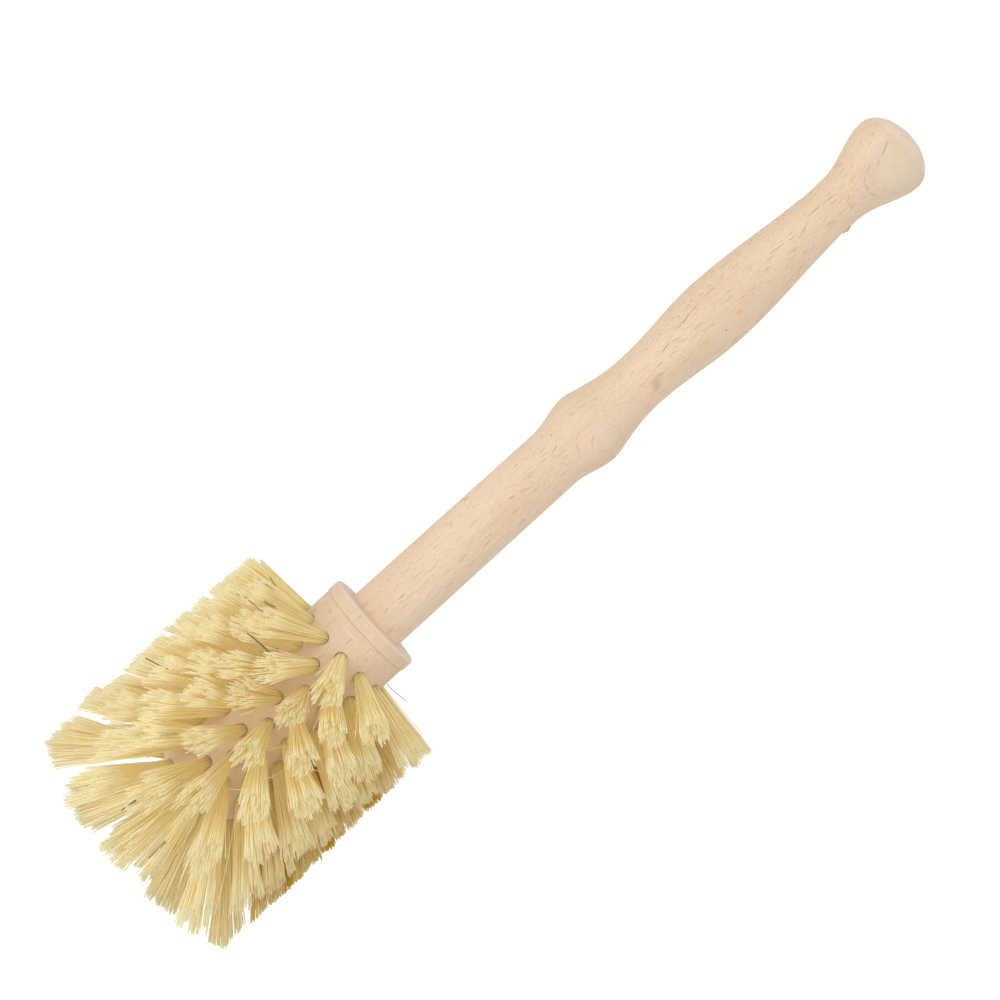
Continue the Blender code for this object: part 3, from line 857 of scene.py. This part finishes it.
def makeBlock():
    shape = blockShape
    radius, joint, easing = shape["radius"], shape["jointRadius"], shape["jointEasing"]
    lipRadius = radius + shape["lipProjection"]
    grooveTop = -shape["lipHeight"]
    grooveRadius = radius - shape["grooveDepth"]
    wallStart = grooveTop - shape["grooveWidth"] - shape["grooveEasing"][1]
    wallEnd = -(shape["endDepth"] - shape["noseRound"])
    profile = [(0, -shape["footDepth"]), (joint, -shape["footDepth"]),
               (joint, -easing), (joint + easing, 0)]
    profile += quarterRound(lipRadius - shape["lipRound"], -shape["lipRound"], shape["lipRound"], 90, 0,
                            shape["lipRoundSteps"])
    profile += [(lipRadius, grooveTop + shape["lipEasing"][1]),
                (lipRadius - shape["lipEasing"][0], grooveTop)]
    profile += [(grooveRadius, grooveTop - shape["grooveWidth"] * part) for part in shape["grooveFloor"]]
    profile += [(radius - shape["grooveEasing"][0], grooveTop - shape["grooveWidth"]), (radius, wallStart)]
    for i in range(1, shape["wallSteps"] + 1):
        profile.append((radius, wallStart + (wallEnd - wallStart) * i / shape["wallSteps"]))
    profile += quarterRound(radius - shape["noseRound"], wallEnd, shape["noseRound"], 0, -90,
                            shape["noseRoundSteps"])[1:]
    profile += [(shape["noseFlat"], -shape["endDepth"]), (0, -shape["endDepth"])]
    block = turnOnLathe("turnedBlock", profile, shape["sides"])

    # one drill, copied to each tuft's place, cuts the holes
    clearSelection()
    bpy.ops.mesh.primitive_cylinder_add(vertices=shape["holeSides"], radius=shape["holeRadius"] * mm,
                                        depth=2 * shape["holeDepth"] * mm, location=(0, 0, 0))
    drill = bpy.context.object
    drills = []
    for point, direction in [tuft for row in tuftRows for tuft in row]:
        copy = drill.copy()
        copy.data = drill.data.copy()
        turn = direction.to_track_quat("Z", "Y").to_matrix().to_4x4()
        copy.matrix_world = Matrix.Translation(point * mm) @ turn
        bpy.context.scene.collection.objects.link(copy)
        drills.append(copy)
    bpy.data.objects.remove(drill)
    clearSelection()
    for copy in drills:
        copy.select_set(True)
    bpy.context.view_layer.objects.active = drills[0]
    bpy.ops.object.join()
    joined = bpy.context.object
    bpy.ops.object.transform_apply(location=True, rotation=True, scale=True)
    cutAway(block, joined)
    smoothByAngle(block)
    applyPlace(block, brushPlace)
    finishPiece(block, blockBeech, "beech_block", "head_block")
    return block


block = makeBlock()
print("scene: the head block is turned and drilled", len(block.data.vertices), "vertices")

# plant fibres, in millimetres
fibreShape = {
    "perTuft": 200,
    "rootRadius": 1.44,          # of the bundle where it leaves the wood
    "rootShift": 0.1,            # of the bundle in its hole
    "rootDepth": 1.6,
    "thickness": (0.095, 0.155),
    "taper": 0.22,
    "reach": 20.0,               # at which the fan and the bow are measured
    "fan": 7.4,                  # degrees, at the edge of the bundle
    "noseSpread": 0.94,          # of the fan of the nose's tufts
    "opening": (0.8, 0.2),       # the straight and the curved share of the way that a tuft opens
    "jitter": 0.8,
    "bow": 0.2,                  # sideways bow of a fibre, at its middle
    "bowPhase": (0.6, 1.4),
    "heldShare": 0.6,            # of the depth of its root, up to which a fibre is held straight
    "bowMost": 1.6,              # the share of the reach at which a bow stops growing
    "bowStart": 2,
    "lookMost": 1.5,             # lengths, in usual ones, that the look of a fibre is spread over
    "clumps": 7,                 # smaller bundles that the fibres of a tuft keep to
    "clumpPull": 0.35,
    "clumpPlace": (0.55, 0.8),   # of the bundle's radius
    "clumpTurn": 0.3,
    "clumpJitter": 0.9,
    "clumpLength": 0.65,
    "raggedLength": 0.35,
    "raggedMost": 0.6,
    "raggedLift": 0.25,
    "sides": 3,
    "segments": 5,
    "straySpread": 9.0,
    "strayLeast": 0.4,
    "strayShare": 0.013,
    "shortShare": 0.05,
    "shortBy": (2, 6),
    "hollow": 1.6,               # how much shorter the fibres in a tuft's middle can be
    "hollowRadius": 0.45,
    "lengths": (4.0, 60.0),      # between which the cut end is sought, by halving
    "halvings": 26,
    "overTable": 0.12,
    "lowest": 0.02,              # height over the table that no fibre goes below
    "restingBelow": 1.5,         # fibres that end lower than this over the table are never ragged upwards
    "darkShare": 0.0004,         # of the fibres are dark, and as many are green
    # painted shade: tufts on the side away from the light, and further from the collar, are coloured browner
    "shadeSide": -97,             # degrees from the top of the side whose tufts get painted shade, coloured browner
    "shadeMost": 1.0,
    "shadeFrom": (11, 22),        # depths between which the painted shade comes in
    "shadeNose": 0.2,             # the share of the painted shade that the nose's tufts have
    "shadeFalloff": 6,
    # a random darker tone of each tuft's own, carried along with the painted shade
    "darkerAtRandom": 0.12,
}

# single fibres among the tufts: the row, one end, the other end, how far the middle stands aside, the half
# width and the kind (0 plain, 0.37 olive, 0.5 green, 1 dark); in millimetres of the upright brush
singleFibres = (
    (1, (-27.6, 12.8, -21.7), (-24.2, 20.8, -22.9), 0.2, 0.22, 0.5),
    (0, (-15.2, 28.4, -12.9), (-15.5, 23.5, -12.1), 0.1, 0.16, 0.47),
    (0, (-1.0, 25.8, -12.1), (-2.0, 23.3, -12.4), 0.0, 0.1, 0.5),
    (0, (-17.0, 27.4, -18.1), (-24.4, 21.8, -16.5), 0.1, 0.1, 1.0),
    (0, (-18.3, 23.3, -15.2), (-16.1, 20.4, -14.5), 0.1, 0.25, 0.42),
    (4, (-12.5, 32.2, -46.7), (-17.9, 26.8, -43.7), 0.1, 0.13, 0.8),
    (3, (-21.3, 24.7, -33.8), (-25.6, 19.7, -31.2), 0.1, 0.2, 0.37),
    (8, (1.0, -5.7, -76.7), (5.0, -6.4, -83.2), 0.1, 0.27, 0.4),
    (8, (-30.5, 9.3, -68.8), (-33.0, 10.0, -72.5), 0.1, 0.22, 0.45),
    (0, (0.1, -13.7, -8.8), (0.3, -20.3, -8.0), 0.2, 0.11, 0.38),
    (6, (-27.9, 16.9, -54.4), (-23.1, 14.0, -51.7), 0.1, 0.28, 0.37),
    (4, (-14.2, -7.9, -35.0), (-25.3, -3.6, -38.3), 0.4, 0.09, 0.0),
    (4, (-27.3, -7.5, -44.0), (-17.5, -10.4, -39.4), 0.5, 0.1, 0.0),
    (4, (-17.5, -10.4, -39.4), (-19.5, -17.1, -33.0), -0.7, 0.09, 0.0),
    (6, (-20.0, -4.2, -52.4), (-29.0, -6.5, -47.9), 0.3, 0.09, 0.0),
    (5, (-18.9, 2.4, -45.0), (-30.0, 1.0, -41.0), 0.3, 0.09, 0.0),
    (1, (-22.0, -6.5, -25.5), (-34.0, -2.5, -18.2), 0.8, 0.09, 0.0),
)
singleLook = {"widening": 1.25, "tone": 0.3, "part": 0.6}

# the form that the ends are trimmed to
trimForm = {
    "sideOut": 19.1,
    "sideWidening": 1.9,
    "fullerSide": 1.0,           # more on the side away from the light
    "endOut": 29.9,
    "endCrown": 8.5,
}


def beyondTrim(points):
    # how far points of the upright brush, in millimetres, lie outside the trimmed form
    form = trimForm
    radius = np.hypot(points[..., 0], points[..., 1])
    depth = -points[..., 2]
    trimRadius = blockShape["radius"] + form["sideOut"]
    trimEnd = blockShape["endDepth"] + form["endOut"]
    firstRow = tuftLayout["firstRow"]
    along = (depth - firstRow) / (trimEnd - firstRow)
    side = trimRadius + form["sideWidening"] * along
    side = side + form["fullerSide"] * np.clip(-points[..., 1] / np.maximum(radius, 1e-6), 0, 1)**2
    end = trimEnd - form["endCrown"] * (radius / (trimRadius + form["sideWidening"]))**2
    return np.maximum(radius - side, depth - end)


def aboveTable(points):
    # height over the table, in millimetres, of points of the upright brush
    turned = brushPlace
    return (turned[2][0] * points[..., 0] + turned[2][1] * points[..., 1]
            + turned[2][2] * points[..., 2] + turned[2][3] / mm)


def modelFibre():
    # one straight fibre of unit radius and length, drawn up ring by ring and used for them all
    clearSelection()
    bpy.ops.mesh.primitive_circle_add(vertices=fibreShape["sides"], radius=1, fill_type="NGON",
                                      location=(0, 0, 0))
    fibre = bpy.context.object
    bpy.ops.object.mode_set(mode="EDIT")
    bpy.ops.mesh.select_all(action="SELECT")
    step = (0, 0, 1 / fibreShape["segments"])
    for i in range(fibreShape["segments"]):
        bpy.ops.mesh.extrude_region_move(TRANSFORM_OT_translate={"value": step})
    bpy.ops.mesh.select_all(action="SELECT")
    bpy.ops.mesh.normals_make_consistent(inside=False)
    bpy.ops.object.mode_set(mode="OBJECT")
    points = np.array([v.co for v in fibre.data.vertices])
    faces = [tuple(p.vertices) for p in fibre.data.polygons]
    bpy.data.objects.remove(fibre)
    return points, faces


fibrePoints, fibreFaces = modelFibre()


def wrapTubes(spine, across, thickness, twist):
    # the points of a tube round each middle line
    taper = 1.0 - fibreShape["taper"] * np.linspace(0, 1, spine.shape[1])
    ring = np.rint(fibrePoints[:, 2] * fibreShape["segments"]).astype(int)
    tangent = np.gradient(spine, axis=1)
    tangent /= np.linalg.norm(tangent, axis=2, keepdims=True)
    first = np.cross(tangent, across)
    first /= np.linalg.norm(first, axis=2, keepdims=True)
    second = np.cross(tangent, first)
    cosTurn, sinTurn = np.cos(twist)[:, None], np.sin(twist)[:, None]
    outX = fibrePoints[None, :, 0] * cosTurn - fibrePoints[None, :, 1] * sinTurn
    outY = fibrePoints[None, :, 0] * sinTurn + fibrePoints[None, :, 1] * cosTurn
    size = thickness[:, None] * taper[ring][None, :]
    return (spine[:, ring] + second[:, ring] * (outX * size)[..., None]
            + first[:, ring] * (outY * size)[..., None])


def growTuft(draw, point, direction, spread, shorter):
    # points and attributes of all the fibres of one tuft, in millimetres of the upright brush
    shape = fibreShape
    count = shape["perTuft"]
    axis = np.array(direction)
    across = np.array(direction.orthogonal().normalized())
    other = np.cross(axis, across)
    radius = np.sqrt(draw.uniform(0, 1, count))
    angle = draw.uniform(0, math.tau, count)
    offset = (across * (radius * np.cos(angle))[:, None] + other * (radius * np.sin(angle))[:, None])
    shift = draw.uniform(0, math.tau)
    shift = (across * math.cos(shift) + other * math.sin(shift)) * shape["rootShift"]
    root = np.array(point) - axis * shape["rootDepth"] + offset * shape["rootRadius"] + shift
    reach = shape["reach"]

    def sideVector(size):
        turn = draw.uniform(0, math.tau, count)
        return (across * np.cos(turn)[:, None] + other * np.sin(turn)[:, None]) * size[:, None]

    # the smaller bundles, one in the middle and the rest round it, and the one that each fibre keeps to
    clumps = shape["clumps"]
    clumpTurn = (draw.uniform(0, math.tau) + np.arange(clumps) * math.tau / (clumps - 1)
                 + draw.uniform(-shape["clumpTurn"], shape["clumpTurn"], clumps))
    clumpOut = np.where(np.arange(clumps) == 0, 0.0, draw.uniform(*shape["clumpPlace"], clumps))
    middles = np.stack((clumpOut * np.cos(clumpTurn), clumpOut * np.sin(clumpTurn)), -1)
    flat = np.stack((radius * np.cos(angle), radius * np.sin(angle)), -1)
    clump = np.argmin(np.linalg.norm(flat[:, None] - middles[None], axis=2), 1)
    drawn = flat + (middles[clump] - flat) * shape["clumpPull"]
    drawn += draw.normal(0, 1, (clumps, 2))[clump] * (shape["clumpJitter"] / shape["fan"])
    fan = (across * drawn[:, :1] + other * drawn[:, 1:]) * math.tan(math.radians(shape["fan"])) * spread
    clumpLength = -np.abs(draw.normal(0, 1, clumps)) * shape["clumpLength"]

    jitter = sideVector(np.abs(draw.normal(0, 1, count)) * math.tan(math.radians(shape["jitter"])))
    stray = draw.uniform(0, 1, count) < shape["strayShare"]
    strayTan = math.tan(math.radians(shape["straySpread"]))
    jitter += sideVector(np.where(stray, draw.uniform(shape["strayLeast"], 1, count) * strayTan, 0.0))
    bow = sideVector(np.abs(draw.normal(0, 1, count)) * shape["bow"])
    phase = draw.uniform(*shape["bowPhase"], count)
    straight, curved = shape["opening"]

    def along(distance):
        # where each fibre is at a distance from its root; distance has one column for each place on it
        part = np.maximum(distance - shape["rootDepth"] * shape["heldShare"], 0) / reach
        curve = (straight * part + curved * part**2)[..., None]
        swing = np.sin(np.minimum(part, shape["bowMost"]) * math.pi * phase[:, None])
        swing = swing * np.minimum(part * shape["bowStart"], 1)
        return (root[:, None] + axis * distance[..., None] + fan[:, None] * curve * reach
                + jitter[:, None] * curve * reach + bow[:, None] * swing[..., None])

    def outside(distance):
        places = along(distance[:, None])[:, 0]
        return np.maximum(beyondTrim(places), shape["overTable"] - aboveTable(places))

    low, high = (np.full(count, length) for length in shape["lengths"])
    for step in range(shape["halvings"]):
        middle = (low + high) / 2
        out = outside(middle) > 0
        high = np.where(out, middle, high)
        low = np.where(out, low, middle)
    ragged = np.minimum(draw.normal(0, 1, count) * shape["raggedLength"], shape["raggedMost"])
    ragged = clumpLength[clump] + ragged + shape["raggedLift"]
    isShort = draw.uniform(0, 1, count) < shape["shortShare"]
    ragged = np.where(isShort, -draw.uniform(*shape["shortBy"], count), ragged)
    inHollow = np.maximum(shape["hollowRadius"] - radius, 0) / shape["hollowRadius"]
    ragged -= inHollow * draw.uniform(0, shape["hollow"], count)
    onTable = aboveTable(along(low[:, None])[:, 0]) < shape["restingBelow"]
    ragged = np.where(onTable, np.minimum(ragged, 0), ragged)
    length = low + ragged - shorter

    rings = np.linspace(0, 1, shape["segments"] + 1)
    spine = along(length[:, None] * rings[None, :])
    thickness = draw.uniform(*shape["thickness"], count)
    places = wrapTubes(spine, across, thickness, draw.uniform(0, math.tau, count))
    points = len(fibrePoints)
    tone = np.repeat(draw.uniform(0, 1, count)[:, None], points, 1)
    kind = draw.uniform(0, 1, count)
    dark = shape["darkShare"]
    kind = np.where(kind < dark, 1.0, np.where(kind < 2 * dark, 0.5, 0.0))
    kind = np.repeat(kind[:, None], points, 1)
    # counted in usual lengths, so that a short tuft keeps the look of its lower part
    usual = np.minimum(length / reach, shape["lookMost"])[:, None]
    part = np.repeat(fibrePoints[None, :, 2], count, 0) * usual / shape["lookMost"]
    # painted shade on the side away from the light, plus the tuft's own random darker tone
    fromShadeSide = math.atan2(point[1], -point[0]) - math.radians(shape["shadeSide"])
    start, full = shape["shadeFrom"]
    shadeShare = min(max((-point[2] - start) / (full - start), 0), 1)
    if -point[2] > blockShape["endDepth"] - blockShape["noseRound"]:
        shadeShare = shape["shadeNose"]
    shadeAndTone = max(math.cos(fromShadeSide), 0)**shape["shadeFalloff"] * shape["shadeMost"] * shadeShare
    shadeAndTone += draw.uniform(0, shape["darkerAtRandom"])
    return places.reshape(-1, 3), np.stack((tone, part, kind, np.full_like(tone, shadeAndTone)), -1).reshape(-1, 4)


def laySingles(draw, row):
    # the single fibres that lie among the tufts of a row, each a shallow arc from one end to the other
    chosen = [single for single in singleFibres if single[0] == row]
    if not chosen:
        return np.zeros((0, 3)), np.zeros((0, 4))
    ends = np.array([(first, last) for row, first, last, sag, width, kind in chosen])
    part = np.linspace(0, 1, fibreShape["segments"] + 1)[None, :, None]
    span = ends[:, 1] - ends[:, 0]
    upwards = np.array((-1.0, 0.0, 0.0))
    side = np.cross(span, upwards)
    side /= np.linalg.norm(side, axis=1, keepdims=True)
    sag = np.array([single[3] for single in chosen])[:, None]
    spine = ends[:, :1] + span[:, None] * part + (side * sag)[:, None] * (4 * part * (1 - part))
    width = np.array([single[4] for single in chosen]) * singleLook["widening"]
    places = wrapTubes(spine, upwards, width, draw.uniform(0, math.tau, len(chosen)))
    looks = np.zeros((len(chosen), len(fibrePoints), 4))
    looks[..., 0] = singleLook["tone"]
    looks[..., 1] = singleLook["part"]
    looks[..., 2] = np.array([single[5] for single in chosen])[:, None]
    return places.reshape(-1, 3), looks.reshape(-1, 4)


def makeFibrePiece(name, row, material, node, spread=1.0):
    draw = np.random.default_rng(100 + row)
    singlePlaces, singleLooks = laySingles(draw, row)
    places, looks = [singlePlaces], [singleLooks]
    for i, (point, direction) in enumerate(tuftRows[row]):
        shorter, share = tuftLayout["unlike"].get((row, i), (0.0, 1.0))
        tuftPlaces, tuftLooks = growTuft(draw, point, direction, spread * share, shorter)
        places.append(tuftPlaces)
        looks.append(tuftLooks)
    places = np.concatenate(places) * mm
    looks = np.concatenate(looks)
    count = len(places) // len(fibrePoints)
    turn = np.array(brushPlace.to_3x3())
    places = places @ turn.T + np.array(brushPlace.to_translation())
    places[:, 2] = np.maximum(places[:, 2], fibreShape["lowest"] * mm)
    faces = [tuple(i + k * len(fibrePoints) for i in face) for k in range(count) for face in fibreFaces]
    mesh = bpy.data.meshes.new(name)
    mesh.from_pydata(places.tolist(), [], faces)
    layer = mesh.attributes.new("fibreTone", "FLOAT_COLOR", "POINT")
    layer.data.foreach_set("color", looks.astype(np.float32).ravel())
    mesh.shade_smooth()
    piece = bpy.data.objects.new(name, mesh)
    bpy.context.scene.collection.objects.link(piece)
    finishPiece(piece, material, "plant_fibre", node)
    return piece


fibreLook = {
    "cream": (0.97, 0.865, 0.525, 1),
    "straw": (0.95, 0.825, 0.425, 1),
    "ochre": (0.86, 0.72, 0.29, 1),
    "tip": (0.98, 0.90, 0.615, 1),
    # the brown of the painted shade, and of the tufts' own darker tone
    "shadeAndTone": (0.585, 0.35, 0.02, 1),
    "green": (0.13, 0.16, 0.05, 1),
    "brown": (0.07, 0.055, 0.03, 1),
    # ranges of a fibre's tone, of the place along it, of a noise and of its kind
    "ochreTones": (0.93, 1.0, 0.0, 0.7),
    "rootFade": (0.05, 0.35, 0.4, 0.0),
    "tipFade": (0.5, 0.68, 0.0, 0.6),
    "streakFade": (0.45, 0.7, 0.0, 0.3),
    "shadeAndToneFade": (0.3, 0.7, 1.0, 0.95),
    "greenKind": (0.25, 0.5),
    "brownKind": (0.6, 1.0),
    "roughness": 0.5,
    "specular": 0.3,
    "glow": 0.103,               # stands for the light that comes through the fibres
}


def buildFibreMaterial():
    look = fibreLook
    material, tree, shader = newMaterial("plantFibre")
    tone = putNode(tree, "ShaderNodeAttribute", attribute_name="fibreTone")
    channels = putNode(tree, "ShaderNodeSeparateColor")
    plug(tree, channels.inputs[0], tone.outputs["Color"])
    each, part, kind = channels.outputs
    colour = mixOf(tree, rangeOf(tree, each, 0.0, 1.0, smooth=False), look["cream"], look["straw"])
    colour = mixOf(tree, rangeOf(tree, each, *look["ochreTones"]), colour, look["ochre"])
    colour = mixOf(tree, rangeOf(tree, part, *look["rootFade"]), colour, look["ochre"])
    colour = mixOf(tree, rangeOf(tree, part, *look["tipFade"]), colour, look["tip"])
    streak = noiseOf(tree, brushCoordinates(tree), "fibreStreak")
    colour = mixOf(tree, rangeOf(tree, streak, *look["streakFade"]), colour, look["straw"])
    # painted shade, with each tuft's own darker tone, browns the fibre along most of its length
    shadeAndTone = times(tree, tone.outputs["Alpha"], rangeOf(tree, part, *look["shadeAndToneFade"]))
    colour = mixOf(tree, shadeAndTone, colour, look["shadeAndTone"])
    for name in ("green", "brown"):
        colour = mixOf(tree, rangeOf(tree, kind, *look[name + "Kind"]), colour, look[name])
    plug(tree, shader.inputs["Base Color"], colour)
    plug(tree, shader.inputs["Emission Color"], colour)
    shader.inputs["Emission Strength"].default_value = look["glow"]
    shader.inputs["Roughness"].default_value = look["roughness"]
    shader.inputs["Specular IOR Level"].default_value = look["specular"]
    return material


plantFibre = buildFibreMaterial()
for row in range(tuftLayout["rows"]):
    makeFibrePiece(f"fibreRing{row + 1}", row, plantFibre, f"tuft_ring_{row + 1}")
makeFibrePiece("fibreNose", tuftLayout["rows"], plantFibre, "tuft_nose", fibreShape["noseSpread"])
print("scene: the tufts are set")

# floor, lights and camera
studio = {
    "floorSize": 4.0,
    "floorColour": (0.3, 0.3, 0.3, 1),
    "floorGlow": 0.85,
    "floorRoughness": 0.9,
    "floorSpecular": 0.1,
    "world": 0.80,
    "worldBelow": 0.82,          # the light that comes back up from the floor
    "horizon": 0.15,
    "key": {"place": (-0.25, 0.95, 1.15), "size": 1.1, "power": 6.5},
    "fill": {"place": (0.6, -0.9, 1.2), "size": 1.2, "power": 2.2},
    "towardsHandle": 8.0,
    "towardsLeft": 5.0,
    "distance": 0.70,
    "aimAlong": 0.04304,
    "aimAcross": 0.00145,
    "roll": 42.2,
    "widthSeen": 0.2488,
    "sensor": 36,
    "bounces": 16,               # of the light, among the fibres
    "diffuseBounces": 12,
}


def makeStudio():
    clearSelection()
    bpy.ops.mesh.primitive_plane_add(size=studio["floorSize"], location=(0, 0, 0))
    floor = bpy.context.object
    floor.name = "studioFloor"
    material, tree, shader = newMaterial("studioFloor")
    shader.inputs["Base Color"].default_value = studio["floorColour"]
    shader.inputs["Roughness"].default_value = studio["floorRoughness"]
    shader.inputs["Specular IOR Level"].default_value = studio["floorSpecular"]
    shader.inputs["Emission Color"].default_value = (1, 1, 1, 1)
    shader.inputs["Emission Strength"].default_value = studio["floorGlow"]
    floor.data.materials.append(material)
    # the glow is for the eye alone: what the floor gives back to the brush is the air's lower half
    floor.visible_diffuse = False
    floor.visible_glossy = False
    floor.visible_transmission = False

    world = bpy.data.worlds.new("studioAir")
    world.use_nodes = True
    world.node_tree.nodes["Background"].inputs["Color"].default_value = (1, 1, 1, 1)
    air = world.node_tree
    up = partsOf(air, putNode(air, "ShaderNodeTexCoord").outputs["Generated"])[2]
    plug(air, air.nodes["Background"].inputs["Strength"],
         rangeOf(air, up, -studio["horizon"], studio["horizon"], studio["worldBelow"], studio["world"]))
    bpy.context.scene.world = world
    for name in ("key", "fill"):
        light = bpy.data.lights.new(name, "AREA")
        light.shape = "DISK"
        light.size = studio[name]["size"]
        light.energy = studio[name]["power"]
        lamp = bpy.data.objects.new(name, light)
        lamp.location = studio[name]["place"]
        lamp.rotation_euler = (-lamp.location).to_track_quat("-Z", "Y").to_euler()
        bpy.context.scene.collection.objects.link(lamp)

    towards = Vector((math.tan(math.radians(studio["towardsHandle"])),
                      math.tan(math.radians(studio["towardsLeft"])), 1)).normalized()
    along = (gripAxis - towards * gripAxis.dot(towards)).normalized()
    across = towards.cross(along)
    roll = math.radians(studio["roll"])
    right = along * math.cos(roll) - across * math.sin(roll)
    up = along * math.sin(roll) + across * math.cos(roll)
    aim = collarTop + gripAxis * studio["aimAlong"] + sideways * studio["aimAcross"]
    data = bpy.data.cameras.new("photoCamera")
    data.sensor_width = studio["sensor"]
    data.lens = studio["sensor"] * studio["distance"] / studio["widthSeen"]
    camera = bpy.data.objects.new("photoCamera", data)
    camera.matrix_world = Matrix.Translation(aim + towards * studio["distance"]) @ Matrix(
        (right, up, towards)).transposed().to_4x4()
    bpy.context.scene.collection.objects.link(camera)
    bpy.context.scene.camera = camera
    bpy.context.scene.view_settings.view_transform = "Standard"
    bpy.context.scene.cycles.max_bounces = studio["bounces"]
    bpy.context.scene.cycles.diffuse_bounces = studio["diffuseBounces"]
    return camera


makeStudio()
print("scene: the studio is set")
